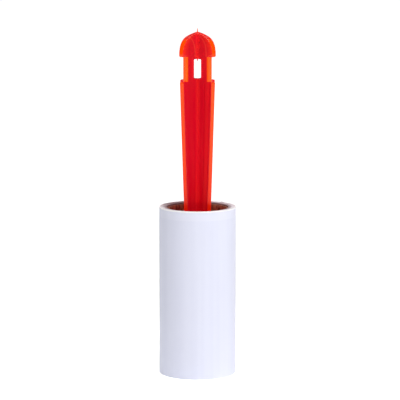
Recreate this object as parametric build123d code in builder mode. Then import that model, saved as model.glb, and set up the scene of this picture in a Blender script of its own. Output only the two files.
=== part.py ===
from build123d import *

import os
from math import cos, hypot, radians, sin

# A lint roller: a cross-finned handle, a carrier that turns on the handle's spindle, and a roll of
# tear-off sheets on a paper core that slides over the carrier.
# Millimetres. Z runs up the roll's axis. z = 0 is the roll's lower end, which stands on the table.

# Roll
ROLL_LENGTH = 102.0
ROLL_RADIUS = 23.2
SHEET = 0.2
CORE_BORE = 17.5
CORE_WALL = 1.2
CORE_RECESS = 1.2
SEAM_ANGLE = 40.0
SEAM_WIDTH = 3.6
LIFTED_LENGTH = 7.0

# Handle
FIN_ANGLES = (45, 135)
FIN_THICKNESS = 3.0
EDGE_ROUND = 0.45
CORNER_ROUND = 0.9
TIP_HEIGHT = 207.2
HEAD_RADIUS = 14.15
HEAD_SIDE_TOP = 194.5
HEAD_SHOULDER = (12.4, 200.6)
HEAD_UPPER = (8.2, 204.25)
PEAK_MIDDLE = (4.2, 205.95)
NECK_TOP = 192.8
NECK_BOTTOM = 178.1
NECK_RADIUS = 10.8
WINDOW_TOP = 191.1
WINDOW_BOTTOM = 179.4
WINDOW_REACH = 4.15
WINDOW_CORNER = 0.5
GRIP_TOP_RADIUS = 13.6
GRIP_MIDDLE = (12.05, 141.0)
GRIP_BOTTOM_RADIUS = 9.9
PIP_HEIGHT = 2.1
PIP_RADIUS = 0.4
WINDOW_PIP_HEIGHT = 1.3

# Spindle, from the collar down
COLLAR_TOP = 94.6
COLLAR_BOTTOM = 92.3
COLLAR_RADIUS = 11.0
UPPER_JOURNAL = 6.0
UPPER_JOURNAL_END = 79.0
LOWER_JOURNAL = 5.0
LOWER_JOURNAL_TOP = 23.0
SPINDLE_END = 8.0
SPINDLE_CHAMFER = 0.5
SPINDLE_RIB = 2.4

# Washer and screw under the spindle
WASHER_RADIUS = 7.4
WASHER_THICKNESS = 1.2
WASHER_PLAY = 0.2
SCREW_RADIUS = 1.5
SCREW_LENGTH = 12.2
SCREW_HOLE_DEPTH = 12.0
SCREW_HEAD_RADIUS = 3.2
SCREW_HEAD_HEIGHT = 2.1
RECESS_LENGTH = 3.4
RECESS_WIDTH = 0.8
RECESS_DEPTH = 1.2

# Carrier
RUNNING_FIT = 0.08
CORE_CLEARANCE = 0.3
COLLAR_PLAY = 0.3
CARRIER_WALL = 2.2
LOWER_RING_HEIGHT = 10.0
UPPER_RING_HEIGHT = 8.0
HUB_WALL = 2.4
HUB_LENGTH = 11.0
SPOKES = 6
SPOKE_WIDTH = 1.6
SPOKE_HEIGHT = 4.0
RIBS = 8
RIB_WIDTH = 4.2
FINGERS = 4
FINGER_WIDTH = 5.0
FINGER_WALL = 1.2
FINGER_GAP = 6.0
BUMP_HEIGHT = 7.0
BUMP_CLEARANCE = 0.15
LUG_WIDTH = 5.0
LUG_WALL = 1.5
LUG_GAP = 0.1
HOOK_HEIGHT = 0.7
HOOK_REACH = 1.2

# End cap
CAP_BOTTOM = 1.0
CAP_DISC = 1.6
SKIRT_HEIGHT = 4.5
SKIRT_WALL = 1.8
SKIRT_GAP = 0.05
DIMPLE_RADIUS = 9.0
DIMPLE_DEPTH = 0.6

CORE_RADIUS = CORE_BORE + CORE_WALL
CORE_LENGTH = ROLL_LENGTH - CORE_RECESS
CARRIER_RADIUS = CORE_BORE - CORE_CLEARANCE
CARRIER_INNER = CARRIER_RADIUS - CARRIER_WALL
CARRIER_BOTTOM = CAP_BOTTOM + CAP_DISC
CARRIER_TOP = COLLAR_BOTTOM - COLLAR_PLAY
LOWER_HUB_BOTTOM = SPINDLE_END + WASHER_PLAY
HEAD_SEAT = SPINDLE_END - WASHER_THICKNESS
OVERLAP = 0.5


def fin_plane(angle):
    """An upright plane through the axis, turned by angle. Its own Y is the handle's Z."""
    turn = radians(angle)
    return Plane(origin=(0, 0, 0), x_dir=(cos(turn), sin(turn), 0), z_dir=(sin(turn), -cos(turn), 0))


def ring(low, high, outer, inner):
    """A plain ring about the axis, added to the part that is being built."""
    with BuildSketch(Plane.XY.offset(low), mode=Mode.PRIVATE) as outline:
        Circle(outer)
        Circle(inner, mode=Mode.SUBTRACT)
    extrude(outline.sketch, amount=high - low)


def bars(low, high, outer, wall, width, count, start=0.0):
    """Upright bars around the axis, their outer faces on a circle, added to the part that is being built."""
    with BuildSketch(Plane.XY.offset(low), mode=Mode.PRIVATE) as outline:
        with PolarLocations(outer, count, start_angle=start):
            Rectangle(2 * wall, width)
        Circle(outer, mode=Mode.INTERSECT)
    extrude(outline.sketch, amount=high - low)


def make_fin(angle):
    """One of the two upright plates that cross at the axis, from the collar to the tip."""
    foot = COLLAR_BOTTOM + OVERLAP
    with BuildPart() as fin:
        with BuildSketch(fin_plane(angle)):
            with BuildLine():
                dome = ThreePointArc((HEAD_RADIUS, HEAD_SIDE_TOP), HEAD_SHOULDER, HEAD_UPPER)
                peak = ThreePointArc(dome @ 1, PEAK_MIDDLE, (0, TIP_HEIGHT))
                Polyline(
                    dome @ 0,
                    (HEAD_RADIUS, NECK_TOP),
                    (NECK_RADIUS, NECK_TOP),
                    (NECK_RADIUS, NECK_BOTTOM),
                    (GRIP_TOP_RADIUS, NECK_BOTTOM),
                )
                grip = ThreePointArc(
                    (GRIP_TOP_RADIUS, NECK_BOTTOM), GRIP_MIDDLE, (GRIP_BOTTOM_RADIUS, COLLAR_TOP)
                )
                Polyline(grip @ 1, (GRIP_BOTTOM_RADIUS, foot), (0, foot), peak @ 1)
            make_face()
            mirror(about=Plane.YZ)
            with Locations((0, (WINDOW_TOP + WINDOW_BOTTOM) / 2)):
                RectangleRounded(2 * WINDOW_REACH, WINDOW_TOP - WINDOW_BOTTOM, WINDOW_CORNER, mode=Mode.SUBTRACT)
        extrude(amount=FIN_THICKNESS / 2, both=True)
        outer_corners = fin.edges().filter_by(
            lambda edge: abs(edge.length - FIN_THICKNESS) < 0.01
            and hypot(edge.center().X, edge.center().Y) > NECK_RADIUS + 0.1
            and min(abs(edge.center().Z - NECK_TOP), abs(edge.center().Z - NECK_BOTTOM)) < 0.01
        )
        fillet(outer_corners, CORNER_ROUND)
        broad_faces = fin.faces().sort_by(SortBy.AREA)[-2:]
        fillet(broad_faces.edges(), EDGE_ROUND)
    return fin.part


# Handle: two crossing fins, then the collar, the two journals and the two moulding pips, all round
fins = [make_fin(angle) for angle in FIN_ANGLES]

with BuildPart() as handle:
    for fin_part in fins:
        add(fin_part)
    with BuildSketch(Plane.XZ):
        with BuildLine():
            Polyline(
                (0, COLLAR_TOP),
                (COLLAR_RADIUS, COLLAR_TOP),
                (COLLAR_RADIUS, COLLAR_BOTTOM),
                (UPPER_JOURNAL, COLLAR_BOTTOM),
                (UPPER_JOURNAL, UPPER_JOURNAL_END),
                (0, UPPER_JOURNAL_END),
                close=True,
            )
        make_face()
        with BuildLine():
            Polyline(
                (0, LOWER_JOURNAL_TOP),
                (LOWER_JOURNAL, LOWER_JOURNAL_TOP),
                (LOWER_JOURNAL, SPINDLE_END + SPINDLE_CHAMFER),
                (LOWER_JOURNAL - SPINDLE_CHAMFER, SPINDLE_END),
                (0, SPINDLE_END),
                close=True,
            )
        make_face()
        with BuildLine():
            Polyline(
                (0, TIP_HEIGHT - OVERLAP),
                (PIP_RADIUS, TIP_HEIGHT - OVERLAP),
                (PIP_RADIUS / 3, TIP_HEIGHT + PIP_HEIGHT),
                (0, TIP_HEIGHT + PIP_HEIGHT),
                close=True,
            )
        make_face()
        with BuildLine():
            Polyline(
                (0, WINDOW_TOP + OVERLAP),
                (PIP_RADIUS, WINDOW_TOP + OVERLAP),
                (PIP_RADIUS / 2, WINDOW_TOP - WINDOW_PIP_HEIGHT),
                (0, WINDOW_TOP - WINDOW_PIP_HEIGHT),
                close=True,
            )
        make_face()
    revolve(axis=Axis.Z)
    # between the journals the spindle is a cross of two ribs
    for angle in FIN_ANGLES:
        with BuildSketch(Plane.XY.offset(LOWER_JOURNAL_TOP - OVERLAP)):
            Rectangle(2 * LOWER_JOURNAL - RUNNING_FIT, SPINDLE_RIB, rotation=angle)
        extrude(amount=UPPER_JOURNAL_END - LOWER_JOURNAL_TOP + 2 * OVERLAP)
    with BuildSketch(Plane.XY.offset(SPINDLE_END)):
        Circle(SCREW_RADIUS)
    extrude(amount=SCREW_HOLE_DEPTH, mode=Mode.SUBTRACT)
handle.part.label = "handle"

with BuildPart() as spindle_washer:
    ring(HEAD_SEAT, SPINDLE_END, WASHER_RADIUS, SCREW_RADIUS + CORE_CLEARANCE)
    fillet(spindle_washer.edges().group_by(Axis.Z)[0].sort_by(SortBy.LENGTH)[-1:], 0.3)
spindle_washer.part.label = "spindle_washer"

with BuildPart() as spindle_screw:
    with BuildSketch(Plane.XY.offset(HEAD_SEAT - SCREW_HEAD_HEIGHT)):
        Circle(SCREW_HEAD_RADIUS)
    extrude(amount=SCREW_HEAD_HEIGHT)
    fillet(spindle_screw.edges().group_by(Axis.Z)[0], 1.0)
    with BuildSketch(Plane.XY.offset(HEAD_SEAT)):
        Circle(SCREW_RADIUS)
    extrude(amount=SCREW_LENGTH)
    chamfer(spindle_screw.edges().group_by(Axis.Z)[-1], 0.8)
    with BuildSketch(Plane.XY.offset(HEAD_SEAT - SCREW_HEAD_HEIGHT)):
        Rectangle(RECESS_LENGTH, RECESS_WIDTH)
        Rectangle(RECESS_WIDTH, RECESS_LENGTH)
    extrude(amount=RECESS_DEPTH, mode=Mode.SUBTRACT)
spindle_screw.part.label = "spindle_screw"

# Carrier: a cage of two rings and upright ribs, with a hub at each end that runs on the spindle
with BuildPart() as roll_carrier:
    ring(CARRIER_BOTTOM, CARRIER_BOTTOM + LOWER_RING_HEIGHT, CARRIER_RADIUS, CARRIER_INNER)
    ring(CARRIER_TOP - UPPER_RING_HEIGHT, CARRIER_TOP, CARRIER_RADIUS, CARRIER_INNER)
    hubs = (
        (LOWER_HUB_BOTTOM, LOWER_HUB_BOTTOM, LOWER_JOURNAL + RUNNING_FIT),
        (CARRIER_TOP - HUB_LENGTH, CARRIER_TOP - SPOKE_HEIGHT, UPPER_JOURNAL + RUNNING_FIT),
    )
    for hub_bottom, spoke_bottom, bore in hubs:
        ring(hub_bottom, hub_bottom + HUB_LENGTH, bore + HUB_WALL, bore)
        spoke_inside = bore + HUB_WALL - OVERLAP
        spoke_outside = CARRIER_INNER + OVERLAP
        with BuildSketch(Plane.XY.offset(spoke_bottom)):
            with PolarLocations((spoke_inside + spoke_outside) / 2, SPOKES, start_angle=90):
                Rectangle(spoke_outside - spoke_inside, SPOKE_WIDTH)
        extrude(amount=SPOKE_HEIGHT)
    rib_bottom = CARRIER_BOTTOM + LOWER_RING_HEIGHT - OVERLAP
    rib_top = CARRIER_TOP - UPPER_RING_HEIGHT + OVERLAP
    bars(rib_bottom, rib_top, CARRIER_RADIUS, CARRIER_WALL, RIB_WIDTH, RIBS)
    # spring fingers stand free at their upper ends, where a bump grips the core
    finger_top = CARRIER_TOP - UPPER_RING_HEIGHT - FINGER_GAP
    finger_start = 180 / RIBS
    bars(rib_bottom, finger_top, CARRIER_RADIUS, FINGER_WALL, FINGER_WIDTH, FINGERS, finger_start)
    bump_radius = CORE_BORE - BUMP_CLEARANCE
    bump_wall = bump_radius - CARRIER_RADIUS + FINGER_WALL
    bars(finger_top - BUMP_HEIGHT, finger_top, bump_radius, bump_wall, FINGER_WIDTH, FINGERS, finger_start)
    # two lugs at the top, whose hooks stop the core
    hook_bottom = CORE_LENGTH + LUG_GAP
    bars(CARRIER_TOP - OVERLAP, hook_bottom + HOOK_HEIGHT, CARRIER_RADIUS, LUG_WALL, LUG_WIDTH, 2, 90)
    hook_wall = LUG_WALL + HOOK_REACH
    bars(hook_bottom, hook_bottom + HOOK_HEIGHT, CARRIER_RADIUS + HOOK_REACH, hook_wall, LUG_WIDTH, 2, 90)
roll_carrier.part.label = "roll_carrier"

with BuildPart() as carrier_end_cap:
    with BuildSketch(Plane.XY.offset(CAP_BOTTOM)):
        Circle(CARRIER_RADIUS)
    extrude(amount=CAP_DISC)
    fillet(carrier_end_cap.edges().group_by(Axis.Z)[0], 0.5)
    skirt_radius = CARRIER_INNER - SKIRT_GAP
    ring(CARRIER_BOTTOM, CARRIER_BOTTOM + SKIRT_HEIGHT, skirt_radius, skirt_radius - SKIRT_WALL)
    with BuildSketch(Plane.XY.offset(CAP_BOTTOM)):
        Circle(DIMPLE_RADIUS)
    extrude(amount=DIMPLE_DEPTH, mode=Mode.SUBTRACT)
carrier_end_cap.part.label = "carrier_end_cap"

# Roll: the paper core, the wound tape, and its three outermost sheets, each one turn
with BuildPart() as core_tube:
    ring(0, CORE_LENGTH, CORE_RADIUS, CORE_BORE)
core_tube.part.label = "core_tube"

with BuildPart() as tape_pack:
    ring(0, ROLL_LENGTH, ROLL_RADIUS - 3 * SHEET, CORE_RADIUS)
tape_pack.part.label = "tape_pack"

with BuildPart() as third_sheet:
    ring(0, ROLL_LENGTH, ROLL_RADIUS - 2 * SHEET, ROLL_RADIUS - 3 * SHEET)
third_sheet.part.label = "third_sheet"

with BuildPart() as second_sheet:
    ring(0, ROLL_LENGTH, ROLL_RADIUS - SHEET, ROLL_RADIUS - 2 * SHEET)
second_sheet.part.label = "second_sheet"

# the outer sheet's free edge stands off the roll as a straight tongue, over the seam where the sheet began
with BuildPart() as outer_sheet:
    turn = radians(SEAM_ANGLE)
    middle = ROLL_RADIUS - SHEET / 2
    seam_x = middle * cos(turn) - SEAM_WIDTH / 2 * sin(turn)
    seam_y = middle * sin(turn) + SEAM_WIDTH / 2 * cos(turn)
    tongue_x = middle * cos(turn) - LIFTED_LENGTH / 2 * sin(turn)
    tongue_y = middle * sin(turn) + LIFTED_LENGTH / 2 * cos(turn)
    with BuildSketch():
        Circle(ROLL_RADIUS)
        Circle(ROLL_RADIUS - SHEET, mode=Mode.SUBTRACT)
        with Locations((seam_x, seam_y)):
            Rectangle(SEAM_WIDTH, 2, rotation=SEAM_ANGLE + 90, mode=Mode.SUBTRACT)
        with Locations((tongue_x, tongue_y)):
            Rectangle(LIFTED_LENGTH, SHEET, rotation=SEAM_ANGLE + 90)
    extrude(amount=ROLL_LENGTH)
outer_sheet.part.label = "outer_sheet"

os.makedirs("parts", exist_ok=True)
for piece in (
    handle,
    spindle_washer,
    spindle_screw,
    roll_carrier,
    carrier_end_cap,
    core_tube,
    tape_pack,
    third_sheet,
    second_sheet,
    outer_sheet,
):
    export_step(piece.part, f"parts/{piece.part.label}.step")
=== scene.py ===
import math
import random

import bmesh
import bpy
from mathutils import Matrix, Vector


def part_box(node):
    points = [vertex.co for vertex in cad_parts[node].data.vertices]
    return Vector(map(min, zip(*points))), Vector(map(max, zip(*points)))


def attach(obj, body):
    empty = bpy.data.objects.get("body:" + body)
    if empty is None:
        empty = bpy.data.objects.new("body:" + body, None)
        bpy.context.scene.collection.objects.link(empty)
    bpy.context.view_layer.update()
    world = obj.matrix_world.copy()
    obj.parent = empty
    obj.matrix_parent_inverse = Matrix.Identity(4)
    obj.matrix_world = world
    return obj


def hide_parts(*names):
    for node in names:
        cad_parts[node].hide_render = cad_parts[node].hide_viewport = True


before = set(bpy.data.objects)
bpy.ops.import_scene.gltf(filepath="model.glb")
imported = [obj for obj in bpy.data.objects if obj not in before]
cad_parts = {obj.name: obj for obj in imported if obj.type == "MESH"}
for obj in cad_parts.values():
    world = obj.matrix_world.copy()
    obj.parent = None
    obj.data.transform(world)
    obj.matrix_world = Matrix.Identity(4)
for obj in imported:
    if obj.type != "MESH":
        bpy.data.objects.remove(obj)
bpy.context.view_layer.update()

# A lint roller stands on its roll. Lengths are in metres, and MM turns the object's small sizes into them.
MM = 0.001
random.seed(7)

# ---- sizes read from the frame ----
core_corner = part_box("core_tube")[1]
ROLL_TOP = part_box("tape_pack")[1].z
CORE_TOP = core_corner.z
CORE_OUTER = core_corner.x

# ---- sizes of the real pieces, as the design has them ----
SHEET = 0.2 * MM
CORE_BORE = 17.5 * MM
PACK_RADIUS = 22.6 * MM
ROLL_RADIUS = 23.2 * MM
SEAM_ANGLE = math.radians(40)
SEAM_CLEARANCE = 3.6 * MM
LIFTED_LENGTH = 7.0 * MM
DRY_EDGE = 96.4 * MM
HEAD_RADIUS = 14.15 * MM
HEAD_SIDE_TOP = 194.5 * MM
HEAD_TIP = 207.2 * MM
HEAD_FOOT = 192.8 * MM
NECK_RADIUS = 10.8 * MM
NECK_BOTTOM = 178.1 * MM
NECK_TOP = 192.8 * MM
GRIP_FOOT = 94.6 * MM
GRIP_FOOT_RADIUS = 9.9 * MM
GRIP_TOP_RADIUS = 13.6 * MM
GRIP_BULGE = 0.35 * MM

# ---- mesh detail, lamps and stage ----
AROUND = 192
SHARP_ANGLE = math.radians(38)
LAMP_DISTANCE = 1.6
LAMP_SIZE = 0.9
LAMP_AIM = Vector((0, 0, 0.1))
FLOOR_REACH = 14.0


# ---- node helpers ----
class Nodes:
    """Builds one material's node tree with short calls."""

    def __init__(self, name):
        self.material = bpy.data.materials.new(name)
        self.material.use_nodes = True
        self.tree = self.material.node_tree
        self.shader = self.tree.nodes["Principled BSDF"]
        self.place = self.add("ShaderNodeTexCoord").outputs["Object"]

    def add(self, kind, **settings):
        node = self.tree.nodes.new(kind)
        for key, value in settings.items():
            setattr(node, key, value)
        return node

    def plug(self, socket, value):
        if isinstance(value, bpy.types.NodeSocket):
            self.tree.links.new(value, socket)
        else:
            socket.default_value = value

    def math(self, operation, *values):
        node = self.add("ShaderNodeMath", operation=operation)
        for socket, value in zip(node.inputs, values):
            self.plug(socket, value)
        return node.outputs[0]

    def split(self, vector):
        node = self.add("ShaderNodeSeparateXYZ")
        self.plug(node.inputs[0], vector)
        return node.outputs

    def from_axis(self, x, y):
        """The distance from the roll's axis."""
        squares = self.math("ADD", self.math("MULTIPLY", x, x), self.math("MULTIPLY", y, y))
        return self.math("SQRT", squares)

    def off_from(self, value, middle):
        """How far a value is from a middle one, either way."""
        return self.math("ABSOLUTE", self.math("SUBTRACT", value, middle))

    def scaled(self, scale):
        """The place, squeezed along its axes."""
        node = self.add("ShaderNodeMapping")
        self.plug(node.inputs["Vector"], self.place)
        node.inputs["Scale"].default_value = scale
        return node.outputs[0]

    def noise(self, scale, detail=3.0, roughness=0.5, vector=None):
        node = self.add("ShaderNodeTexNoise")
        self.plug(node.inputs["Vector"], vector or self.place)
        node.inputs["Scale"].default_value = scale
        node.inputs["Detail"].default_value = detail
        node.inputs["Roughness"].default_value = roughness
        return node.outputs["Fac"]

    def ramp(self, value, low, high, to_low=0.0, to_high=1.0, smooth=True):
        node = self.add("ShaderNodeMapRange", interpolation_type="SMOOTHSTEP" if smooth else "LINEAR")
        self.plug(node.inputs["Value"], value)
        node.inputs["From Min"].default_value = low
        node.inputs["From Max"].default_value = high
        node.inputs["To Min"].default_value = to_low
        node.inputs["To Max"].default_value = to_high
        return node.outputs[0]

    def mix(self, factor, first, second):
        node = self.add("ShaderNodeMix", data_type="RGBA")
        self.plug(node.inputs[0], factor)
        self.plug(node.inputs[6], first)
        self.plug(node.inputs[7], second)
        return node.outputs[2]

    def bump(self, height, strength, distance):
        node = self.add("ShaderNodeBump")
        node.inputs["Strength"].default_value = strength
        node.inputs["Distance"].default_value = distance
        self.plug(node.inputs["Height"], height)
        self.plug(self.shader.inputs["Normal"], node.outputs[0])

    def set(self, **values):
        """Sets the shader's inputs. An underscore in a name stands for a space."""
        for key, value in values.items():
            self.plug(self.shader.inputs[key.replace("_", " ")], value)


def rgb(red, green, blue):
    """A screen colour of 0 to 255 as a linear colour."""
    def linear(value):
        value /= 255
        return value / 12.92 if value <= 0.04045 else ((value + 0.055) / 1.055) ** 2.4
    return (linear(red), linear(green), linear(blue), 1.0)


# ---- materials ----
def fin_outline(n, z, in_neck, in_head):
    """How far the handle's fins reach from the axis at a height."""
    # the grip's outline bulges a little between its foot and its shoulder
    share = n.ramp(z, GRIP_FOOT, NECK_BOTTOM, smooth=False)
    bulge = n.math("MULTIPLY", n.math("MULTIPLY", share, n.math("SUBTRACT", 1.0, share)), 4 * GRIP_BULGE)
    straight = n.math("MULTIPLY_ADD", share, GRIP_TOP_RADIUS - GRIP_FOOT_RADIUS, GRIP_FOOT_RADIUS)
    grip = n.math("ADD", straight, bulge)
    above_side = n.math("MAXIMUM", n.math("SUBTRACT", z, HEAD_SIDE_TOP), 0.0)
    rise = n.math("DIVIDE", above_side, HEAD_TIP - HEAD_SIDE_TOP)
    level = n.math("MAXIMUM", n.math("SUBTRACT", 1.0, n.math("MULTIPLY", rise, rise)), 0.0)
    head = n.math("MULTIPLY", n.math("SQRT", level), HEAD_RADIUS)
    outline = n.math("MULTIPLY_ADD", n.math("SUBTRACT", head, grip), in_head, grip)
    return n.math("MULTIPLY_ADD", n.math("SUBTRACT", NECK_RADIUS, outline), in_neck, outline)


def painted_light_lines(n, face, side, z, in_head, share_out):
    """Painted highlights and shade in the clear plastic: two arcs up each side of the head, painted
    highlights where the smooth dome reflects the lamps, and a pale band with dark borders down one fin of
    each side of the grip, a painted highlight on the fin's edge with painted shade lines beside it."""
    line_core = 0.1 * MM
    line_end = 0.55 * MM
    line_strength = 0.55
    sweep = 3.3
    climb = n.math("DIVIDE", n.math("SUBTRACT", z, HEAD_FOOT), HEAD_TIP - HEAD_FOOT)
    swing = n.math("POWER", n.math("MAXIMUM", climb, 0.0), sweep)
    # each arc's place at the head's foot, and how far it has moved across by the tip
    for foot, throw in ((-1.4 * MM, -6.0 * MM), (5.1 * MM, -6.4 * MM)):
        miss = n.off_from(side, n.math("MULTIPLY_ADD", swing, throw, foot))
        arc = n.math("MULTIPLY", n.ramp(miss, line_core, line_end, line_strength, 0.0), in_head)
        # painted highlight: each arc is a lamp's reflection on the dome
        face = n.mix(arc, face, rgb(240, 84, 66))
    on_grip = n.math("MULTIPLY", n.math("GREATER_THAN", side, 0.0), n.math("LESS_THAN", z, NECK_BOTTOM))
    # each band's middle and width, as shares of the fin's reach: the pale band is a painted highlight on the
    # fin's edge, the dark ones are painted shade lines
    for middle, width, strength, tint in (
        (0.72, 0.13, 0.45, rgb(232, 46, 46)),
        (0.56, 0.03, 0.45, rgb(176, 8, 22)),
        (0.87, 0.03, 0.55, rgb(170, 14, 18)),
    ):
        miss = n.off_from(share_out, middle)
        band = n.math("MULTIPLY", n.ramp(miss, width / 2, width, strength, 0.0), on_grip)
        face = n.mix(band, face, tint)
    return face


def handle_plastic():
    """Clear fluorescent red: deep red through its faces, and glowing orange where light leaves its edges. The
    glow is painted light, put into the colour and given as a faint emission.
    """
    n = Nodes("handle_plastic")
    x, y, z = n.split(n.place)
    # the fins lie on the diagonals of x and y
    along_a = n.math("ABSOLUTE", n.math("MULTIPLY", n.math("ADD", x, y), math.sqrt(0.5)))
    along_b = n.math("ABSOLUTE", n.math("MULTIPLY", n.math("SUBTRACT", y, x), math.sqrt(0.5)))
    reach = n.math("MAXIMUM", along_a, along_b)
    in_head = n.math("GREATER_THAN", z, NECK_TOP)
    above_grip = n.math("GREATER_THAN", z, NECK_BOTTOM)
    in_neck = n.math("MULTIPLY", above_grip, n.math("LESS_THAN", z, NECK_TOP))
    outline = fin_outline(n, z, in_neck, in_head)

    # painted light: the edge glow is narrow at the fins' side edges, wide on the neck's posts, and faint and
    # deep in the head
    full_depth, side_depth, head_depth = 0.15 * MM, 0.7 * MM, 6.0 * MM
    post_inside, post_outside = 8.9 * MM, 10.0 * MM
    head_strength = 0.35
    inset = n.math("SUBTRACT", outline, reach)
    side_glow = n.ramp(inset, full_depth, side_depth, 1.0, 0.0)
    neck_glow = n.ramp(n.math("MULTIPLY", in_neck, reach), post_inside, post_outside)
    head_glow = n.math("MULTIPLY", in_head, n.ramp(inset, 0.0, head_depth, head_strength, 0.0))
    edge = n.math("MAXIMUM", n.math("MAXIMUM", side_glow, neck_glow), head_glow)

    # painted shade: the plastic's colour and its edge glow are darker toward the roll's mouth, where less
    # light reaches it, and lighter in the head, where more light comes through
    height = n.ramp(z, 96 * MM, 140 * MM)
    face = n.mix(height, rgb(200, 6, 30), rgb(205, 12, 44))
    face = n.mix(n.ramp(z, 160 * MM, 200 * MM), face, rgb(208, 30, 48))
    rim = n.mix(height, rgb(210, 28, 4), rgb(246, 80, 0))
    rim = n.mix(in_neck, rim, rgb(255, 104, 6))
    streaks = n.noise(400, 2.0, vector=n.scaled((1.0, 1.0, 0.05)))
    face = n.mix(n.ramp(streaks, 0.35, 0.7, 0.0, 0.35), face, rgb(220, 42, 50))
    side = n.math("MULTIPLY", x, n.math("MULTIPLY", n.math("SIGN", y), -1.0))
    face = painted_light_lines(n, face, side, z, in_head, n.math("DIVIDE", reach, outline))

    colour = n.mix(edge, face, rim)
    # painted glow: the whole handle emits a little and its edges more, standing in for light carried through
    # the plastic
    face_glow, edge_extra = 0.20, 0.25
    glow = n.math("MULTIPLY_ADD", edge, edge_extra, face_glow)
    n.set(Base_Color=colour, Roughness=n.ramp(streaks, 0.2, 0.8, 0.08, 0.14), IOR=1.49)
    n.set(Specular_IOR_Level=0.12, Specular_Tint=(1.0, 0.6, 0.5, 1.0), Transmission_Weight=0.62)
    n.set(Emission_Color=colour, Emission_Strength=glow)
    n.bump(streaks, 0.05, 0.05 * MM)
    return n.material


def carrier_plastic():
    """Opaque moulded red, with a fine satin grain."""
    n = Nodes("carrier_plastic")
    grain = n.noise(2500, 2.0)
    broad = n.noise(60)
    n.set(Base_Color=n.mix(broad, rgb(150, 18, 18), rgb(186, 26, 22)))
    n.set(Roughness=n.ramp(grain, 0.3, 0.7, 0.38, 0.55))
    n.bump(grain, 0.15, 0.02 * MM)
    return n.material


def plated_steel():
    """Zinc-plated steel, turned, with fine rings."""
    n = Nodes("plated_steel")
    x, y, _ = n.split(n.place)
    ripples = 45000.0  # radians in a metre
    rings = n.math("SINE", n.math("MULTIPLY", n.from_axis(x, y), ripples))
    cloud = n.noise(700, 4.0)
    n.set(Base_Color=n.mix(cloud, rgb(176, 178, 184), rgb(206, 207, 212)), Metallic=1.0)
    n.set(Roughness=n.ramp(cloud, 0.2, 0.8, 0.24, 0.42))
    n.bump(rings, 0.1, 0.01 * MM)
    return n.material


def coated_paper():
    """Smooth coated paper of the tear-off sheets: faint lengthways streaks, a paler band along the
    top without adhesive, and a painted highlight: white along the top cut edge, where it catches the light."""
    n = Nodes("coated_paper")
    z = n.split(n.place)[2]
    streaks = n.noise(260, vector=n.scaled((1.0, 1.0, 0.015)))
    fibre = n.noise(2600, 3.0, 0.6, n.scaled((1.0, 1.0, 0.35)))
    sheet = n.mix(n.ramp(streaks, 0.3, 0.7), rgb(232, 234, 250), rgb(229, 231, 248))
    softness = 0.3 * MM
    dry_edge = n.ramp(z, DRY_EDGE - softness, DRY_EDGE + softness, 0.0, 0.3)
    sheet = n.mix(dry_edge, sheet, rgb(242, 243, 255))
    # painted highlight: the top 0.7 mm of the sheet is whitened where the roll's top edge catches the light
    lip_highlight = n.ramp(z, ROLL_TOP - 0.7 * MM, ROLL_TOP - 0.4 * MM)
    sheet = n.mix(lip_highlight, sheet, rgb(255, 255, 255))
    n.set(Base_Color=sheet, Roughness=n.ramp(fibre, 0.3, 0.7, 0.42, 0.58), Specular_IOR_Level=0.3)
    n.bump(fibre, 0.08, 0.02 * MM)
    return n.material


def wound_edges():
    """Cut edges of many sheets: fine rings of paper and adhesive, with painted shade toward the bore, the
    back and the back-left.
    """
    n = Nodes("wound_edges")
    ring_pitch = 0.26 * MM
    most_wander = 0.25 * MM
    x, y, _ = n.split(n.place)
    radius = n.from_axis(x, y)
    wander = n.math("MULTIPLY", n.noise(120, 2.0), most_wander)
    rings = n.math("SINE", n.math("MULTIPLY", n.math("ADD", radius, wander), 2 * math.pi / ring_pitch))
    ringed = n.ramp(rings, -1.0, 1.0, 0.0, 0.8)
    lit_rings = n.mix(ringed, rgb(255, 254, 255), rgb(232, 229, 238))
    shaded_rings = n.mix(ringed, rgb(184, 168, 172), rgb(128, 108, 108))
    # painted shade: the rings darken toward the bore, toward the back, and most on the back-left where the
    # handle shades them; the front stays light
    not_front = n.ramp(y, -20 * MM, -6 * MM)
    painted_shade = n.math("MULTIPLY", n.ramp(radius, 19.2 * MM, 21.6 * MM, 1.0, 0.0), not_front)
    painted_shade = n.math("MAXIMUM", painted_shade, n.ramp(y, -20 * MM, -4 * MM, 0.0, 0.22))
    one_side = n.math("SUBTRACT", n.math("MULTIPLY", y, 0.8), n.math("MULTIPLY", x, 0.6))
    painted_shade = n.math("MAXIMUM", painted_shade, n.ramp(one_side, 12 * MM, 21 * MM, 0.0, 0.85))
    # mottled painted shade away from the front
    mottled_shade = n.math("MULTIPLY", n.ramp(n.noise(260, 4.0), 0.45, 0.8, 0.0, 0.6), not_front)
    n.set(Base_Color=n.mix(mottled_shade, n.mix(painted_shade, lit_rings, shaded_rings), rgb(158, 142, 150)), Roughness=0.62)
    n.bump(rings, 0.15, 0.04 * MM)
    return n.material


def brown_board():
    """Spiral-wound brown board, with fibre and darker flecks."""
    n = Nodes("brown_board")
    fibre = n.noise(620, 5.0, 0.65, n.scaled((1.0, 1.0, 0.4)))
    flecks = n.ramp(n.noise(1900, 2.0), 0.62, 0.74, 0.0, 0.5)
    board = n.mix(n.ramp(fibre, 0.38, 0.62), rgb(184, 130, 98), rgb(122, 76, 56))
    n.set(Base_Color=n.mix(flecks, board, rgb(84, 50, 38)), Roughness=0.85)
    n.bump(fibre, 0.5, 0.08 * MM)
    return n.material


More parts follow.
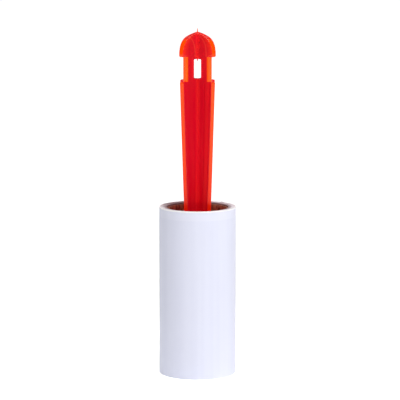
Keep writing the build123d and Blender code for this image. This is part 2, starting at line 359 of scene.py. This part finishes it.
# ---- mesh helpers ----
def new_piece(name, verts, faces, material, body):
    """A smooth-shaded mesh piece that rides on a body."""
    mesh = bpy.data.meshes.new(name)
    mesh.from_pydata(verts, [], faces)
    cleaned = bmesh.new()
    cleaned.from_mesh(mesh)
    bmesh.ops.recalc_face_normals(cleaned, faces=cleaned.faces)
    cleaned.to_mesh(mesh)
    cleaned.free()
    piece = bpy.data.objects.new(name, mesh)
    bpy.context.scene.collection.objects.link(piece)
    mesh.materials.append(material)
    for polygon in mesh.polygons:
        polygon.use_smooth = True
    mesh.set_sharp_from_angle(angle=SHARP_ANGLE)
    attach(piece, body)
    return piece


def lathe(profile, warp=None):
    """A closed outline of (radius, z) points turned about the axis. warp may move each point by its angle."""
    verts = []
    for step in range(AROUND):
        angle = 2 * math.pi * step / AROUND
        for radius, z in profile:
            if warp:
                radius = warp(angle, radius, z)
            verts.append((radius * math.cos(angle), radius * math.sin(angle), z))
    count = len(profile)
    faces = []
    for step in range(AROUND):
        here = step * count
        there = (step + 1) % AROUND * count
        for index in range(count):
            after = (index + 1) % count
            faces.append((here + index, there + index, there + after, here + after))
    return verts, faces


# ---- the roll ----
def wound_tape():
    """The wound sheets. Each turn ends at its own height, and the inner turns sit a little lower."""
    turns = 30
    dish_depth = 0.22 * MM
    top_margin = 0.10 * MM
    top_spread = 0.12 * MM
    bottom_spread = 0.10 * MM
    standing_turn = 5
    pitch = (PACK_RADIUS - CORE_OUTER) / turns
    width = 0.9 * pitch
    top, bottom = [], []
    for turn in range(turns):
        inner = CORE_OUTER + turn * pitch
        dish = dish_depth * (1 - turn / turns)
        high = ROLL_TOP - top_margin - dish - random.uniform(0, 1) * top_spread
        low = 0.0 if turn % standing_turn == 0 else random.uniform(0, 1) * bottom_spread
        top += [(inner, high), (inner + width, high)]
        bottom += [(inner, low), (inner + width, low)]
    verts, faces = lathe(bottom + top[::-1])
    piece = new_piece("wound_tape", verts, faces, materials["edges"], "roll_body")
    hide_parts("tape_pack")


def paper_core():
    """The core: two plies of board wound in a helix, so a shallow seam runs round inside and outside."""
    rows = 110
    helix_pitch = 62 * MM
    groove = 0.14 * MM
    groove_width = 0.7 * MM
    rounding = 0.25 * MM
    heights = [CORE_TOP * row / rows for row in range(1, rows)]
    inside = [(CORE_BORE, z) for z in heights]
    outside = [(CORE_OUTER, z) for z in heights]
    foot = [(CORE_OUTER - rounding, 0.0), (CORE_BORE + rounding, 0.0)]
    rim = [(CORE_BORE + rounding, CORE_TOP), (CORE_OUTER - rounding, CORE_TOP)]

    def seam(angle, radius, z):
        phase = (z / helix_pitch - angle / (2 * math.pi)) % 1.0
        off = min(phase, 1 - phase) * helix_pitch
        depth = groove * max(0.0, 1 - off / groove_width)
        if radius >= CORE_OUTER - rounding / 2:
            return radius - depth
        if radius <= CORE_BORE + rounding / 2:
            return radius + depth
        return radius

    verts, faces = lathe(foot + inside + rim + outside[::-1], warp=seam)
    piece = new_piece("paper_core", verts, faces, materials["board"], "roll_body")
    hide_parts("core_tube")


def top_sheet():
    """The outermost sheet: one turn whose free edge springs off the roll, more at its upper corner."""
    rows = 34
    turn_steps = 200
    free_steps = 14
    notch_pitch = 3
    notch_share = 0.03
    foot_share = 0.5
    edge_curl = 0.5 * MM
    corner_curl = 1.1 * MM
    middle = ROLL_RADIUS - SHEET / 2
    half = SHEET / 2
    start = SEAM_ANGLE + SEAM_CLEARANCE / middle
    end = SEAM_ANGLE + 2 * math.pi
    columns = [(start + (end - start) * step / turn_steps, 0.0) for step in range(turn_steps + 1)]
    columns += [(end, step / free_steps) for step in range(1, free_steps + 1)]
    outer_side, inner_side = [], []
    for angle, share in columns:
        out = Vector((math.cos(angle), math.sin(angle), 0))
        onward = Vector((-math.sin(angle), math.cos(angle), 0))
        for row in range(rows + 1):
            up = row / rows
            corner = up ** 3 + foot_share * (1 - up) ** 6
            reach = LIFTED_LENGTH * (1 - notch_share * (row % notch_pitch == 0))
            curl = share * share * (edge_curl + corner_curl * corner)
            point = out * (middle + curl) + onward * (reach * share) + Vector((0, 0, ROLL_TOP * up))
            outer_side.append(tuple(point + out * half))
            inner_side.append(tuple(point - out * half))
    across = rows + 1
    back = len(outer_side)
    last = len(columns) - 1
    faces = []
    for column in range(last):
        for row in range(rows):
            a = column * across + row
            b = a + across
            faces.append((a, b, b + 1, a + 1))
            faces.append((back + a, back + a + 1, back + b + 1, back + b))
        for row in (0, rows):
            a = column * across + row
            faces.append((a, a + across, back + a + across, back + a))
    for column in (0, last):
        for row in range(rows):
            a = column * across + row
            faces.append((a, a + 1, back + a + 1, back + a))
    verts = outer_side + inner_side
    piece = new_piece("top_sheet", verts, faces, materials["paper"], "roll_body")
    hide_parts("outer_sheet")


# ---- stage, camera and light ----
def stage():
    """A plain pale floor that fills the view."""
    near, middle, far = 0.03, 0.25, 1.5
    mesh = bpy.data.meshes.new("floor")
    corners = [(x * FLOOR_REACH, y * FLOOR_REACH, 0) for x, y in ((-1, -1), (1, -1), (1, 1), (-1, 1))]
    mesh.from_pydata(corners, [], [(0, 1, 2, 3)])
    floor = bpy.data.objects.new("floor", mesh)
    bpy.context.scene.collection.objects.link(floor)
    n = Nodes("pale_floor")
    x, y, _ = n.split(n.place)
    away = n.from_axis(x, y)
    n.set(Base_Color=(0.93, 0.93, 0.93, 1), Roughness=0.9)
    # bright round the roll's foot, and again far off, where the lamps don't reach
    near_glow = n.ramp(away, near, middle, 0.52, 0.34)
    far_glow = n.ramp(away, 0.8 * middle, far, 0.34, 0.97)
    n.set(Emission_Color=(1, 1, 1, 1), Emission_Strength=n.math("MAXIMUM", near_glow, far_glow))
    mesh.materials.append(n.material)


def face_target(thing, target, azimuth, elevation, distance):
    """Puts a camera or lamp at a distance from its target, and turns it to face it.
    Azimuth 0 is in front, and positive is to the right."""
    a, e = math.radians(azimuth), math.radians(elevation)
    away = Vector((math.sin(a) * math.cos(e), -math.cos(a) * math.cos(e), math.sin(e)))
    thing.location = target + away * distance
    thing.rotation_euler = (-away).to_track_quat("-Z", "Y").to_euler()


def camera():
    """The camera looks down a little, with the roller's axis just left of the middle."""
    elevation = 8.475
    distance = 1.2
    aim_height = 0.1058
    sideways = 0.0015
    focal_pixels = 1986.4
    picture_pixels = 400
    data = bpy.data.cameras.new("camera")
    data.sensor_width = 36.0
    data.lens = focal_pixels / picture_pixels * data.sensor_width
    data.clip_end = 50
    holder = bpy.data.objects.new("camera", data)
    bpy.context.scene.collection.objects.link(holder)
    face_target(holder, Vector((sideways, 0, aim_height)), 0.0, elevation, distance)
    bpy.context.scene.camera = holder


def soft_lamp(name, azimuth, elevation, power):
    """A soft square lamp that faces the roller."""
    data = bpy.data.lights.new(name, "AREA")
    data.shape = "SQUARE"
    data.size = LAMP_SIZE
    data.energy = power
    lamp = bpy.data.objects.new(name, data)
    bpy.context.scene.collection.objects.link(lamp)
    face_target(lamp, LAMP_AIM, azimuth, elevation, LAMP_DISTANCE)


def lighting():
    """Three soft lamps and a faint even light all round."""
    world = bpy.data.worlds.new("studio")
    bpy.context.scene.world = world
    world.use_nodes = True
    backdrop = world.node_tree.nodes["Background"]
    backdrop.inputs["Color"].default_value = (0.97, 0.98, 1.0, 1)
    backdrop.inputs["Strength"].default_value = 0.05
    soft_lamp("key", azimuth=40, elevation=28, power=6.7)
    soft_lamp("top", azimuth=20, elevation=75, power=20)
    soft_lamp("back", azimuth=180, elevation=55, power=5)
    bpy.context.scene.view_settings.view_transform = "Standard"


materials = {
    "handle": handle_plastic(),
    "carrier": carrier_plastic(),
    "steel": plated_steel(),
    "paper": coated_paper(),
    "edges": wound_edges(),
    "board": brown_board(),
}
node_materials = {
    "handle": "handle",
    "roll_carrier": "carrier",
    "carrier_end_cap": "carrier",
    "spindle_washer": "steel",
    "spindle_screw": "steel",
    "core_tube": "board",
    "tape_pack": "edges",
    "third_sheet": "paper",
    "second_sheet": "paper",
    "outer_sheet": "paper",
}
for node_name, material_name in node_materials.items():
    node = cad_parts[node_name]
    node.data.materials.clear()
    node.data.materials.append(materials[material_name])

wound_tape()
paper_core()
top_sheet()
stage()
camera()
lighting()
